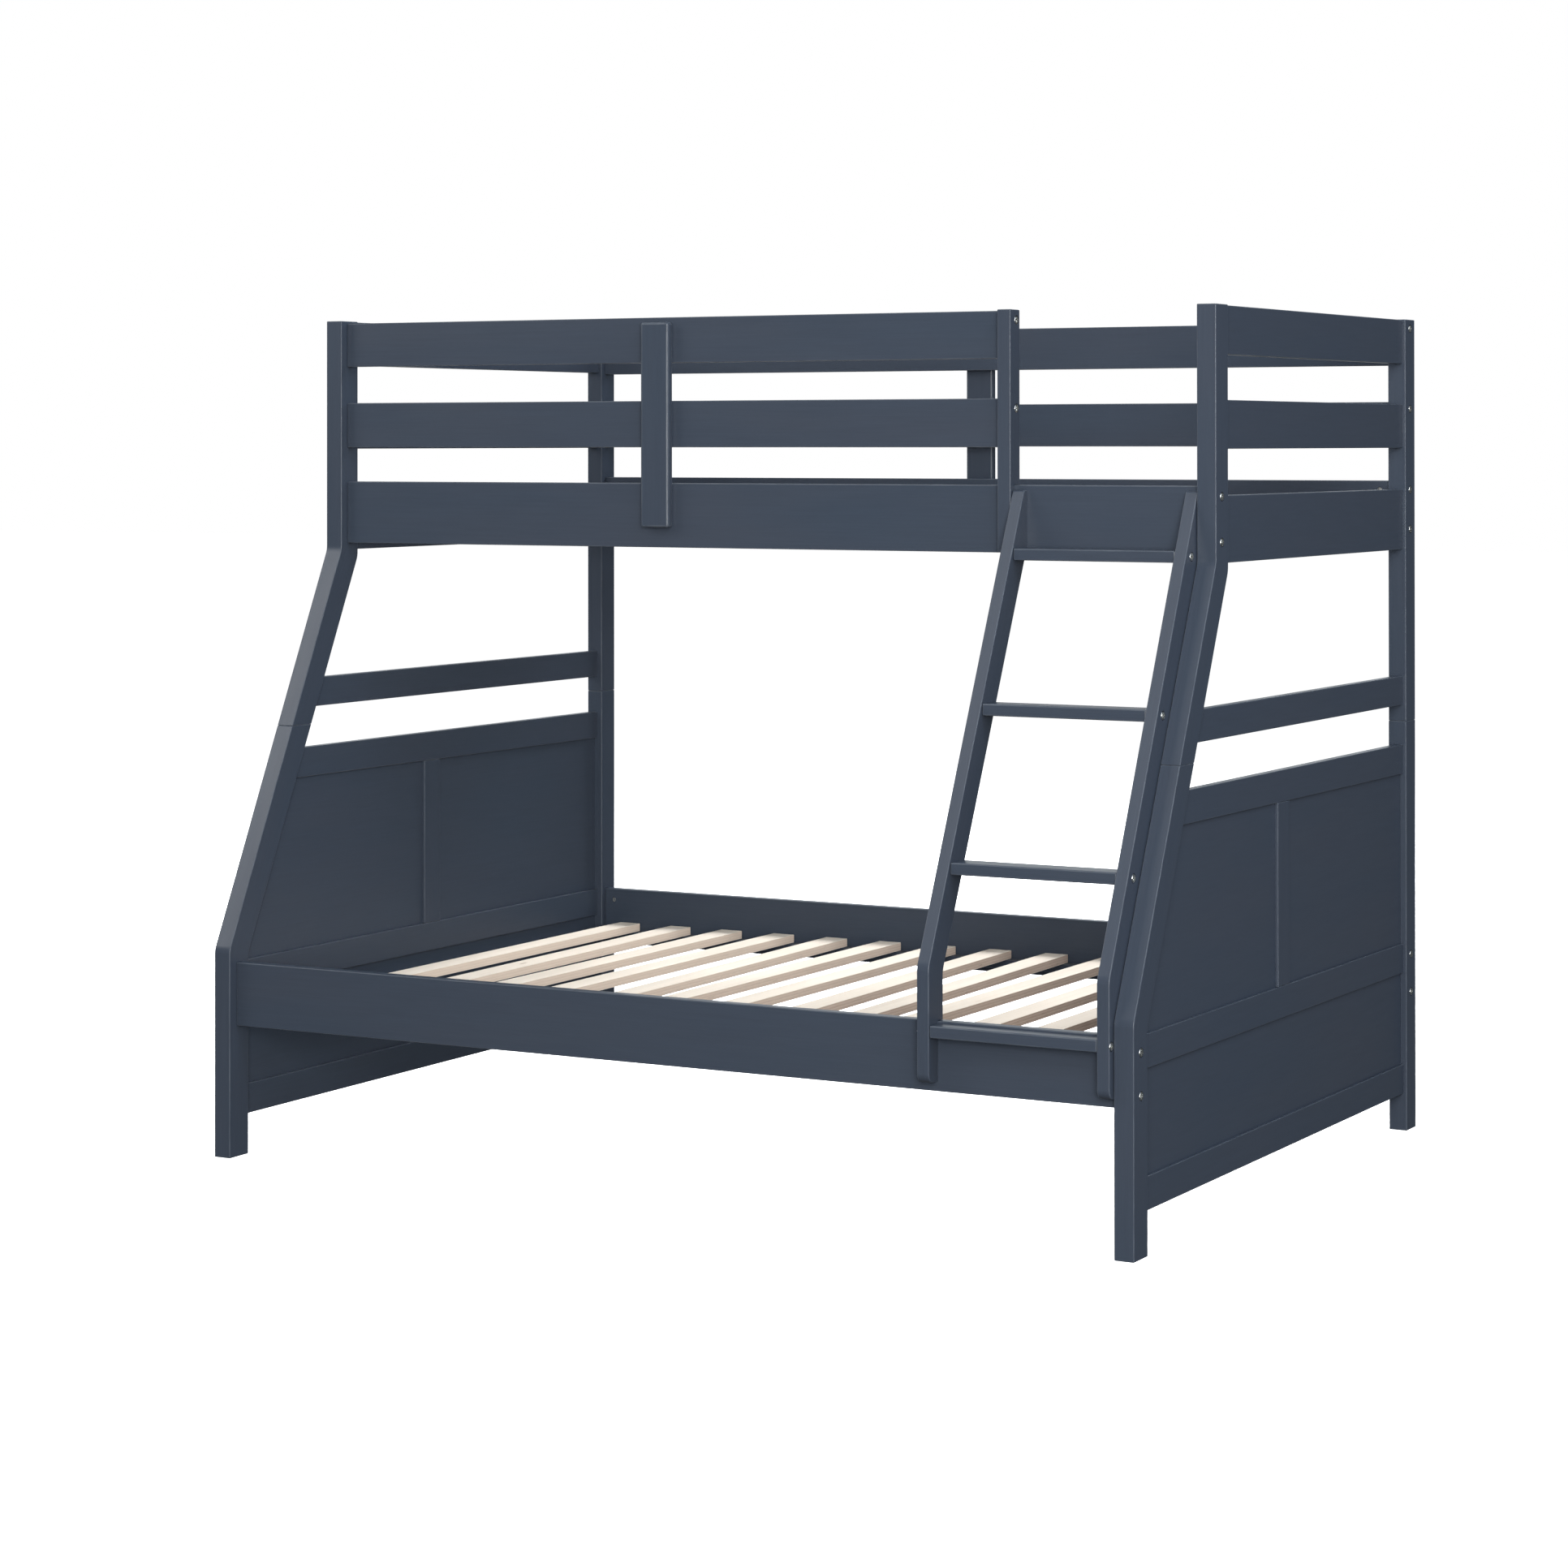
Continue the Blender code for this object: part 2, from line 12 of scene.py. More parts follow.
import bmesh
import bpy
import numpy as np
from mathutils import Matrix, Vector
from mathutils.bvhtree import BVHTree

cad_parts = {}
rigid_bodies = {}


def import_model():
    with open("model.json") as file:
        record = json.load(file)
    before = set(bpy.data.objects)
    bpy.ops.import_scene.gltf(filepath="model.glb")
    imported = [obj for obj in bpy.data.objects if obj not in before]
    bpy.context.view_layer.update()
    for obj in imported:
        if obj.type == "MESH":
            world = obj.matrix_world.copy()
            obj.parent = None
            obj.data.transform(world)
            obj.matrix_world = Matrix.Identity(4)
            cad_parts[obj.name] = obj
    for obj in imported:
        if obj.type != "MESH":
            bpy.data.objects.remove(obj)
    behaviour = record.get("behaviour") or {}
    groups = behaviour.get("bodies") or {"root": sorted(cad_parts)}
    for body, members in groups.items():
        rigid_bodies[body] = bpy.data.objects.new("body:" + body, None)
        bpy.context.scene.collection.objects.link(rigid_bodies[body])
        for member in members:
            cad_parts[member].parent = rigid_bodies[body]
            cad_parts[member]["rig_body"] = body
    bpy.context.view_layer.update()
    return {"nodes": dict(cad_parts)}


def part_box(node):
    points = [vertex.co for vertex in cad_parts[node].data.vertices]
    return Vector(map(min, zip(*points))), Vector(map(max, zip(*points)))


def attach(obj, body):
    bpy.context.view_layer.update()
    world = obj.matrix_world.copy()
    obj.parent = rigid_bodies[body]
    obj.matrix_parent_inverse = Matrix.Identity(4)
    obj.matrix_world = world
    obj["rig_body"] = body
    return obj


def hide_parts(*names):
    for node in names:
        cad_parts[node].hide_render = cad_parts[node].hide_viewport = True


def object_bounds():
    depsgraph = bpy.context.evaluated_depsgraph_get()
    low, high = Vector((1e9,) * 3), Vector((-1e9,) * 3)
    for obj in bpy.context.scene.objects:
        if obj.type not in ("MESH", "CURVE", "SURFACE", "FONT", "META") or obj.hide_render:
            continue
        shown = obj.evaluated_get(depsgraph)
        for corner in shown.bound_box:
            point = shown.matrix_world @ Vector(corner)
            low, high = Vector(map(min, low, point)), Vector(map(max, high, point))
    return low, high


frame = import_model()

NODES = sorted(frame["nodes"])
BODY_OF = {name: frame["nodes"][name]["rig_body"] for name in NODES}
WIDEST = 0.006              # the largest radius of any eased edge
SIDES = ("left", "right")


# ---------------------------------------------------------------------------- materials


class Nodes:
    """Short ways to add shader nodes to one material."""

    def __init__(self, name):
        self.material = bpy.data.materials.new(name)
        self.material.use_nodes = True
        self.tree = self.material.node_tree
        self.tree.nodes.clear()
        self.shader = self.tree.nodes.new("ShaderNodeBsdfPrincipled")
        output = self.tree.nodes.new("ShaderNodeOutputMaterial")
        self.tree.links.new(self.shader.outputs["BSDF"], output.inputs["Surface"])

    def put(self, socket, value):
        if isinstance(value, bpy.types.NodeSocket):
            self.tree.links.new(value, socket)
        else:
            socket.default_value = value

    def attribute(self, name, output="Vector"):
        node = self.tree.nodes.new("ShaderNodeAttribute")
        node.attribute_name = name
        return node.outputs[output]

    def scaled(self, vector, scale):
        node = self.tree.nodes.new("ShaderNodeVectorMath")
        node.operation = "MULTIPLY"
        self.put(node.inputs[0], vector)
        self.put(node.inputs[1], scale)
        return node.outputs["Vector"]

    def shifted(self, vector, offset):
        node = self.tree.nodes.new("ShaderNodeVectorMath")
        node.operation = "ADD"
        self.put(node.inputs[0], vector)
        self.put(node.inputs[1], offset)
        return node.outputs["Vector"]

    def parts(self, vector):
        node = self.tree.nodes.new("ShaderNodeSeparateXYZ")
        self.put(node.inputs[0], vector)
        return node.outputs

    def noise(self, vector, scale=1.0, detail=2.0, rough=0.5, distort=0.0):
        node = self.tree.nodes.new("ShaderNodeTexNoise")
        self.put(node.inputs["Vector"], vector)
        self.put(node.inputs["Scale"], scale)
        self.put(node.inputs["Detail"], detail)
        self.put(node.inputs["Roughness"], rough)
        self.put(node.inputs["Distortion"], distort)
        return node.outputs["Fac"]

    def spots(self, vector, scale=1.0):
        node = self.tree.nodes.new("ShaderNodeTexVoronoi")
        self.put(node.inputs["Vector"], vector)
        self.put(node.inputs["Scale"], scale)
        return node.outputs["Distance"]

    def math(self, operation, first, second=0.5, third=0.0, clamp=False):
        node = self.tree.nodes.new("ShaderNodeMath")
        node.operation = operation
        node.use_clamp = clamp
        for socket, value in zip(node.inputs, (first, second, third)):
            self.put(socket, value)
        return node.outputs[0]

    def spread(self, value, low, high, to_low=0.0, to_high=1.0, smooth=False):
        node = self.tree.nodes.new("ShaderNodeMapRange")
        node.interpolation_type = "SMOOTHSTEP" if smooth else "LINEAR"
        for name, number in (
            ("Value", value),
            ("From Min", low),
            ("From Max", high),
            ("To Min", to_low),
            ("To Max", to_high),
        ):
            self.put(node.inputs[name], number)
        return node.outputs["Result"]

    def mix(self, factor, first, second, blend="MIX"):
        node = self.tree.nodes.new("ShaderNodeMix")
        node.data_type = "RGBA"
        node.blend_type = blend
        self.put(node.inputs[0], factor)
        for socket, value in ((node.inputs[6], first), (node.inputs[7], second)):
            if not isinstance(value, bpy.types.NodeSocket):
                value = (*value, 1.0)
            self.put(socket, value)
        return node.outputs[2]

    def bump(self, height, distance, strength=1.0, under=None):
        node = self.tree.nodes.new("ShaderNodeBump")
        self.put(node.inputs["Height"], height)
        self.put(node.inputs["Distance"], distance)
        self.put(node.inputs["Strength"], strength)
        if under is not None:
            self.put(node.inputs["Normal"], under)
        return node.outputs["Normal"]

    def finish(self, **sockets):
        for name, value in sockets.items():
            self.put(self.shader.inputs[name.replace("_", " ")], value)
        return self.material


PAINT = (0.0272, 0.0351, 0.0505)
PAINT_COOL = (0.0256, 0.0345, 0.0505)
PAINT_WARM = (0.0286, 0.0355, 0.0500)
# Lighter paint for the eased edges: part wear, part painted highlight.
PAINT_EDGE_WEAR_AND_HIGHLIGHT = (0.0620, 0.0730, 0.0900)


def painted_wood():
    """Satin slate-blue paint, sprayed over solid wood whose grain just shows."""
    n = Nodes("satin_paint")
    grain = n.attribute("grain")
    cloud = n.noise(n.scaled(grain, (1.6, 7.0, 7.0)), detail=3.0, rough=0.55)
    tint = n.noise(n.scaled(grain, (3.1, 12.0, 12.0)), detail=2.0, distort=0.4)
    streak = n.noise(n.scaled(grain, (9.0, 330.0, 330.0)), detail=3.0, rough=0.6)
    colour = n.mix(n.spread(cloud, 0.30, 0.70), PAINT_COOL, PAINT_WARM)
    colour = n.mix(n.spread(tint, 0.45, 0.70, 0.0, 0.6), colour, PAINT)
    shade = n.spread(streak, 0.3, 0.7, 0.955, 1.045)
    node = n.tree.nodes.new("ShaderNodeCombineColor")
    for socket in node.inputs:
        n.put(socket, shade)
    colour = n.mix(1.0, colour, node.outputs[0], "MULTIPLY")
    # The eased edges are painted lighter: partly wear, where the paint is thinner and pale primer shows faintly, and
    # partly a painted highlight along the rounding.
    rubbed_and_highlight = n.noise(n.scaled(grain, (14.0, 60.0, 60.0)), detail=3.0, rough=0.6)
    edge = n.math("MULTIPLY", n.attribute("edge", "Fac"), n.spread(rubbed_and_highlight, 0.25, 0.75, 0.15, 1.0))
    colour = n.mix(n.math("MULTIPLY", edge, 0.75), colour, PAINT_EDGE_WEAR_AND_HIGHLIGHT)
    peel = n.noise(n.scaled(grain, (420.0, 420.0, 420.0)), detail=1.0)
    height = n.math("ADD", n.math("MULTIPLY", streak, 0.6), n.math("MULTIPLY", peel, 0.4))
    normal = n.bump(height, 0.00012, 0.55)
    rough = n.spread(n.noise(n.scaled(grain, (4.0, 22.0, 22.0)), detail=3.0), 0.3, 0.7, 0.30, 0.37)
    return n.finish(
        Base_Color=colour, Roughness=rough, Normal=normal, Specular_IOR_Level=0.22
    )


def slat_wood():
    """Laminated pale softwood: long soft figure on the face, plies on the edges."""
    n = Nodes("laminated_slat")
    grain = n.attribute("grain")
    edge = n.attribute("ply", "Fac")
    wide = n.noise(n.scaled(grain, (1.4, 26.0, 26.0)), detail=4.0, rough=0.6, distort=0.3)
    fine = n.noise(n.scaled(grain, (7.0, 420.0, 420.0)), detail=3.0, rough=0.65)
    line = n.noise(n.scaled(grain, (2.0, 110.0, 110.0)), detail=3.0, rough=0.5, distort=0.6)
    # One number per slat sets its tone: partly random, partly painted light that falls from the left end of the bed to
    # the right, so the left slats are painted paler and the right ones darker to make up for the light they get.
    tone_and_painted_light = n.attribute("tone_and_painted_light", "Fac")
    early = n.mix(tone_and_painted_light, (0.545, 0.489, 0.420), (0.605, 0.545, 0.465))
    late = n.mix(tone_and_painted_light, (0.605, 0.545, 0.472), (0.670, 0.605, 0.523))
    face = n.mix(n.spread(wide, 0.32, 0.68, smooth=True), early, late)
    face = n.mix(n.spread(line, 0.56, 0.74, 0.0, 0.5, smooth=True), face, (0.50, 0.41, 0.325))
    face = n.mix(n.spread(fine, 0.35, 0.65, 0.0, 0.22), face, (0.68, 0.625, 0.55))
    # A few pin knots and mineral flecks, drawn out along the grain.
    fleck = n.spots(n.scaled(grain, (5.5, 34.0, 34.0)))
    kept = n.spread(n.noise(n.scaled(grain, (2.2, 9.0, 9.0)), detail=1.0), 0.56, 0.60)
    fleck = n.math("MULTIPLY", n.spread(fleck, 0.05, 0.11, 1.0, 0.0, smooth=True), kept)
    face = n.mix(n.math("MULTIPLY", fleck, 0.8), face, (0.20, 0.11, 0.06))
    # Plies: 3 mm sheets, every other one across the grain, with dark glue lines.
    parts = n.parts(grain)
    wave = n.noise(n.scaled(grain, (3.0, 0.0, 0.0)), detail=2.0)
    depth = n.math("ADD", parts[2], n.math("MULTIPLY", wave, 0.0007))
    ply = n.math("FRACT", n.math("DIVIDE", depth, 0.0030), 0.0)
    pair = n.math("FRACT", n.math("DIVIDE", depth, 0.0060), 0.0)
    layer = n.mix(n.spread(pair, 0.47, 0.53), (0.47, 0.36, 0.29), (0.37, 0.265, 0.205))
    torn = n.noise(n.scaled(grain, (24.0, 60.0, 620.0)), detail=4.0, rough=0.7)
    layer = n.mix(n.spread(torn, 0.30, 0.75, 0.0, 0.6), layer, (0.55, 0.45, 0.385))
    glue = n.spread(n.math("ABSOLUTE", n.math("SUBTRACT", ply, 0.5), 0.0), 0.40, 0.48, 0.0, 1.0)
    gap = n.spread(n.noise(n.scaled(grain, (18.0, 0.0, 330.0)), detail=3.0), 0.42, 0.62, 0.1, 0.8)
    layer = n.mix(n.math("MULTIPLY", glue, gap), layer, (0.15, 0.085, 0.058))
    # Short dark splits where a veneer has torn.
    split = n.noise(n.scaled(grain, (26.0, 0.0, 420.0)), detail=2.0, rough=0.6)
    layer = n.mix(n.spread(split, 0.66, 0.72, 0.0, 0.85), layer, (0.045, 0.028, 0.022))
    # The ply edges are painted paler by the same number: painted light on the left slats.
    layer = n.mix(n.math("MULTIPLY", tone_and_painted_light, 0.62), layer, (0.72, 0.61, 0.50))
    colour = n.mix(edge, face, layer)
    height = n.math("ADD", n.math("MULTIPLY", fine, 0.6), n.math("MULTIPLY", torn, n.math("MULTIPLY", edge, 0.9)))
    normal = n.bump(height, 0.00025, 0.6)
    rough = n.spread(wide, 0.3, 0.7, 0.55, 0.68)
    return n.finish(Base_Color=colour, Roughness=rough, Normal=normal, Specular_IOR_Level=0.35)


def zinc_steel():
    """Bright zinc plate with a faint bluish bloom."""
    n = Nodes("zinc_plate")
    grain = n.attribute("grain")
    bloom = n.noise(n.scaled(grain, (160.0, 160.0, 160.0)), detail=3.0, rough=0.6)
    turned = n.noise(n.scaled(grain, (900.0, 900.0, 3000.0)), detail=2.0)
    colour = n.mix(n.spread(bloom, 0.3, 0.7), (0.40, 0.43, 0.44), (0.56, 0.57, 0.56))
    rough = n.spread(bloom, 0.3, 0.7, 0.24, 0.36)
    normal = n.bump(turned, 0.00004, 0.5)
    return n.finish(Base_Color=colour, Roughness=rough, Normal=normal, Metallic=1.0)


def painted_shade_recess():
    """The inside of a bored hole: near-black painted shade, with a faint speckle of dust."""
    n = Nodes("bored_hole")
    grain = n.attribute("grain")
    dust = n.noise(n.scaled(grain, (700.0, 700.0, 700.0)), detail=2.0)
    colour = n.mix(n.spread(dust, 0.4, 0.7), (0.012, 0.014, 0.018), (0.03, 0.032, 0.036))
    return n.finish(Base_Color=colour, Roughness=n.spread(dust, 0.3, 0.7, 0.7, 0.9))


def webbing():
    """Dark woven tape: over and under threads in a fine twill."""
    n = Nodes("webbing")
    parts = n.parts(n.attribute("grain"))
    along = n.math("SINE", n.math("MULTIPLY", parts[0], 2 * math.pi / 0.0016), 0.0)
    across = n.math("SINE", n.math("MULTIPLY", parts[1], 2 * math.pi / 0.0016), 0.0)
    weave = n.math("MULTIPLY", along, across)
    fuzz = n.noise(n.scaled(n.attribute("grain"), (900.0, 900.0, 900.0)), detail=3.0)
    colour = n.mix(n.spread(weave, -1.0, 1.0), (0.020, 0.023, 0.030), (0.050, 0.056, 0.068))
    colour = n.mix(n.spread(fuzz, 0.4, 0.8, 0.0, 0.4), colour, (0.075, 0.08, 0.09))
    return n.finish(Base_Color=colour, Roughness=n.spread(fuzz, 0.3, 0.7, 0.8, 0.95), Normal=n.bump(weave, 0.0003, 0.7))


PAINTED = painted_wood()
SLAT = slat_wood()
ZINC = zinc_steel()
HOLE = painted_shade_recess()
TAPE = webbing()


# ------------------------------------------------------------------------------- meshes


def solid_of(node):
    """A CAD node's faces as flat polygons that share their edges."""
    source = frame["nodes"][node].data
    solid = bmesh.new()
    corners = [solid.verts.new(v.co) for v in source.vertices]
    for polygon in source.polygons:
        solid.faces.new([corners[i] for i in polygon.vertices])
    bmesh.ops.remove_doubles(solid, verts=solid.verts, dist=1e-5)
    bmesh.ops.dissolve_limit(
        solid, angle_limit=math.radians(0.6), verts=solid.verts, edges=solid.edges
    )
    bmesh.ops.recalc_face_normals(solid, faces=solid.faces)
    solid.normal_update()
    return solid


def ease(name, solid, radius, segments):
    """Rounds the outer edges, and leaves grooves, housings and bored holes sharp.
    radius(edge) is the radius of one edge, in metres."""
    tree = BVHTree.FromBMesh(solid)
    outer = {}
    for face in solid.faces:
        start = face.calc_center_median() + face.normal * 1e-4
        outer[face] = tree.ray_cast(start, face.normal, 0.3)[0] is None
    weight = solid.edges.layers.float.new("bevel_weight_edge")
    for edge in solid.edges:
        if (
            len(edge.link_faces) == 2
            and edge.is_convex
            and edge.calc_face_angle() > math.radians(38)
            and all(outer[face] for face in edge.link_faces)
        ):
            edge[weight] = radius(edge) / WIDEST
    mesh = bpy.data.meshes.new(name)
    solid.to_mesh(mesh)
    solid.free()
    mesh.materials.append(PAINTED)
    mesh.materials.append(TAPE)
    held = bpy.data.objects.new("eased", mesh)
    bpy.context.scene.collection.objects.link(held)
    rounding = held.modifiers.new("Ease", "BEVEL")
    rounding.limit_method = "WEIGHT"
    rounding.width = WIDEST
    rounding.segments = segments
    rounding.material = 1
    rounding.use_clamp_overlap = True
    bpy.context.view_layer.update()
    graph = bpy.context.evaluated_depsgraph_get()
    made = bpy.data.meshes.new_from_object(held.evaluated_get(graph), depsgraph=graph)
    bpy.data.objects.remove(held)
    # The rounding's faces carry the second material's number, which becomes a flag.
    flag = made.attributes.new("edge", "FLOAT", "FACE")
    flag.data.foreach_set("value", [float(face.material_index == 1) for face in made.polygons])
    made.polygons.foreach_set("material_index", [0] * len(made.polygons))
    made.materials.clear()
    made.name = name
    return made


def centre_line(node, height):
    """Y of the middle of a bent board at this height, from its own faces."""
    mesh = frame["nodes"][node].data
    found = []
    for a, b in mesh.edge_keys:
        p, q = mesh.vertices[a].co, mesh.vertices[b].co
        if min(p.z, q.z) <= height <= max(p.z, q.z) and abs(p.z - q.z) > 1e-6:
            found.append(p.y + (q.y - p.y) * (height - p.z) / (q.z - p.z))
    return (min(found) + max(found)) / 2 if found else None


def set_grain(mesh, axis, seed, bend=None):
    """Stores each point's place along and across the grain, in metres."""
    shuffle = random.Random(seed)
    offset = [shuffle.uniform(3.0, 60.0) for _ in range(3)]
    order = {"x": (0, 1, 2), "y": (1, 0, 2), "z": (2, 0, 1)}[axis]
    values = []
    for vertex in mesh.vertices:
        place = list(vertex.co)
        if bend:
            place[1] -= bend(place[2])
        values += [place[i] + o for i, o in zip(order, offset)]
    layer = mesh.attributes.new("grain", "FLOAT_VECTOR", "POINT")
    layer.data.foreach_set("vector", values)


def add_object(name, mesh, body, materials, nodes=(), smooth_angle=35.0):
    """Links a finished mesh as a piece that rides on its body."""
    for material in materials:
        mesh.materials.append(material)
    mesh.polygons.foreach_set("use_smooth", [True] * len(mesh.polygons))
    mesh.set_sharp_from_angle(angle=math.radians(smooth_angle))
    mesh.update()
    piece = bpy.data.objects.new(name, mesh)
    bpy.context.scene.collection.objects.link(piece)
    even = piece.modifiers.new("Even normals", "WEIGHTED_NORMAL")
    even.mode = "FACE_AREA"
    even.weight = 60
    even.keep_sharp = True
    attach(piece, body)
    if nodes:
        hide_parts(*nodes)
    return piece


def bore(mesh, holes):
    """Cuts round holes into a mesh. A hole is (centre of its mouth, axis into the wood, radius, depth)."""
    if not holes:
        return mesh
    tools = bmesh.new()
    for mouth, axis, radius, depth in holes:
        turn = Vector(axis).to_track_quat("Z", "Y").to_matrix().to_4x4()
        start = Vector(mouth) - Vector(axis) * 0.001
        centre = Matrix.Translation(start + Vector(axis) * (depth + 0.001) / 2) @ turn
        bmesh.ops.create_cone(
            tools,
            cap_ends=True,
            segments=28,
            radius1=radius,
            radius2=radius,
            depth=depth + 0.001,
            matrix=centre,
        )
    tool_mesh = bpy.data.meshes.new("bore_tool")
    tools.to_mesh(tool_mesh)
    tools.free()
    tool_mesh.materials.append(PAINTED)
    tool = bpy.data.objects.new("bore_tool", tool_mesh)
    held = bpy.data.objects.new("bored", mesh)
    for o in (tool, held):
        bpy.context.scene.collection.objects.link(o)
    cut = held.modifiers.new("Bore", "BOOLEAN")
    cut.operation = "DIFFERENCE"
    cut.solver = "EXACT"
    cut.object = tool
    bpy.context.view_layer.update()
    graph = bpy.context.evaluated_depsgraph_get()
    made = bpy.data.meshes.new_from_object(held.evaluated_get(graph), depsgraph=graph)
    for o in (tool, held):
        bpy.data.objects.remove(o)
    made.materials.clear()
    return made


def turned(solid, profile, place, segments=28, hexagon=None):
    """Adds a turned shape to solid: rings of (radius, height), the last one closed.
    hexagon = the first ring index: that ring and later ones are six-sided."""
    rings = []
    for index, (radius, height) in enumerate(profile):
        ring = []
        for step in range(segments):
            angle = 2 * math.pi * step / segments
            reach = radius
            if hexagon and index >= hexagon:
                part = (angle + math.pi / 6) % (math.pi / 3) - math.pi / 6
                reach = radius / math.cos(part)
            ring.append(solid.verts.new(place @ Vector((reach * math.cos(angle), reach * math.sin(angle), height))))
        rings.append(ring)
    for low, high in zip(rings, rings[1:]):
        for step in range(segments):
            after = (step + 1) % segments
            solid.faces.new([low[step], low[after], high[after], high[step]])
    solid.faces.new(rings[-1])
    solid.faces.new(list(reversed(rings[0])))


# Button-head bolt: 16 mm across, with a raised rim round a wide hexagon socket.
BOLT_R = 0.0078
BOLT_BORE = 0.0090
BOLT_SUNK = 0.0016
BOLT_PROFILE = [
    (0.0046, -0.0040),
    (0.0046, -0.0006),
    (0.0075, -0.0004),
    (0.0078, 0.0003),
    (0.0077, 0.0012),
    (0.0072, 0.0020),
    (0.0064, 0.0025),
    (0.0055, 0.0026),
    (0.0048, 0.0023),
    (0.0046, 0.0016),
    (0.0045, -0.0018),
    (0.0020, -0.0024),
]
BOLT_HEX_FROM = 9

# Barrel nut: its round end lies just under the face of the rail, with a driver slot.
NUT_R = 0.0048
NUT_BORE = 0.0052


def bolt_place(centre, outward, turn):
    out = Vector(outward)
    basis = out.to_track_quat("Z", "Y").to_matrix().to_4x4()
    return Matrix.Translation(Vector(centre) - out * BOLT_SUNK) @ basis @ Matrix.Rotation(turn, 4, "Z")


def finish_metal(name, solid, body, seed):
    bmesh.ops.recalc_face_normals(solid, faces=solid.faces)
    mesh = bpy.data.meshes.new(name)
    solid.to_mesh(mesh)
    solid.free()
    set_grain(mesh, "z", seed)
    return add_object(name, mesh, body, [ZINC], smooth_angle=40.0)


def add_bolts(name, body, spots, seed):
    """One object for the bolts through one post. A spot is (centre on the face, outward axis)."""
    shuffle = random.Random(seed)
    solid = bmesh.new()
    for centre, outward in spots:
        turned(solid, BOLT_PROFILE, bolt_place(centre, outward, shuffle.uniform(0, 1)), 24, BOLT_HEX_FROM)
    return finish_metal(name, solid, body, seed)


def add_nuts(name, body, spots, seed):
    """Barrel nuts, their slotted ends 0.5 mm under the face."""
    shuffle = random.Random(seed)
    solid = bmesh.new()
    for centre, outward in spots:
        out = Vector(outward)
        basis = out.to_track_quat("Z", "Y").to_matrix().to_4x4()
        place = Matrix.Translation(Vector(centre) - out * 0.0005) @ basis @ Matrix.Rotation(shuffle.uniform(-0.5, 0.5), 4, "Z")
        half = 0.0007
        for sign in (-1, 1):
            # Each half of the end: a round segment beside the slot.
            rim = []
            start = math.asin(half / NUT_R)
            for step in range(13):
                angle = start + (math.pi - 2 * start) * step / 12
                rim.append((NUT_R * math.cos(angle), sign * NUT_R * math.sin(angle)))
            top = [solid.verts.new(place @ Vector((x * 0.94, y * 0.94 if abs(y) > half else y, 0.0))) for x, y in rim]
            side = [solid.verts.new(place @ Vector((x, y, -0.0004))) for x, y in rim]
            foot = [solid.verts.new(place @ Vector((x, y, -0.0030))) for x, y in rim]
            solid.faces.new(top)
            solid.faces.new(foot[::-1])
            for low, high in ((foot, side), (side, top)):
                for step in range(13):
                    after = (step + 1) % 13
                    solid.faces.new([low[step], low[after], high[after], high[step]])
        # The floor of the slot.
        turned(solid, [(NUT_R * 0.97, -0.0030), (NUT_R * 0.97, -0.0016)], place, 20)
    return finish_metal(name, solid, body, seed)


# ------------------------------------------------------------------------ bolt positions


def mid(node, axis):
    low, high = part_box(node)
    return (low[axis] + high[axis]) / 2


def bolt_spots():
    """For each post: where its bolts sit on its outer face, as (y, z)."""
    spots = {}
    for side in SIDES:
        low_z, up_z = mid("lower_front_side_rail", 2), mid("upper_front_side_rail", 2)
        rail_y = mid("lower_front_side_rail", 1)
        spots["lower_front_post_" + side] = [(rail_y, low_z + 0.036), (rail_y, low_z - 0.041)]
        rail_y = mid("upper_front_side_rail", 1) - 0.002
        spots["upper_front_post_" + side] = [(rail_y, up_z + 0.045), (rail_y, up_z - 0.040)]
        back_y = mid("upper_back_side_rail", 1) + 0.004
        spots["lower_back_post_" + side] = [(back_y, low_z + 0.038), (back_y, low_z - 0.041)]
        spots["upper_back_post_" + side] = [
            (back_y, up_z + 0.046),
            (back_y, up_z - 0.037),
            (back_y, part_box("back_mid_guard")[1].z - 0.015),
            (back_y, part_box("back_top_guard")[1].z - 0.014),
        ]
        spots["ladder_stringer_" + side] = [
            (mid(f"ladder_rung_{i}", 1) - (0.006 if i < 4 else 0.010), mid(f"ladder_rung_{i}", 2))
            for i in (1, 2, 3, 4)
        ]
    spots["front_guard_post"] = [
        (mid("front_top_guard", 1) - 0.003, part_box("front_top_guard")[1].z - 0.018),
        (mid("front_top_guard", 1) - 0.003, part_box("front_mid_guard")[1].z - 0.019),
    ]
    return spots


BOLTS = bolt_spots()


def outward_of(node):
    return (-1.0, 0.0, 0.0) if node.endswith("_left") else (1.0, 0.0, 0.0)


def bolt_points(node):
    out = outward_of(node)
    low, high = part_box(node)
    face = high.x if out[0] > 0 else low.x
    return [((face, y, z), out) for y, z in BOLTS.get(node, [])]


def nut_points(node):
    """Barrel nuts in the inner face of a side rail, one near each end for every bolt."""
    low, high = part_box(node)
    back = "back" in node
    face, out = (low.y, (0.0, -1.0, 0.0)) if back else (high.y, (0.0, 1.0, 0.0))
    level = node.split("_")[0] if "side_rail" in node else "upper"
    if "side_rail" in node:
        post = f"{level}_{'back' if back else 'front'}_post_right"
        heights = [z for _, z in BOLTS[post][:2]]
    else:
        heights = [high.z - 0.015]
    ends = [low.x + 0.024, high.x - 0.024]
    return [((x, face, z), out) for x in ends for z in heights]


NUTS = {
    name: nut_points(name)
    for name in (
        "lower_back_side_rail",
        "lower_front_side_rail",
        "upper_back_side_rail",
        "upper_front_side_rail",
        "back_mid_guard",
        "back_top_guard",
    )
}


# ------------------------------------------------------------------------ painted boards


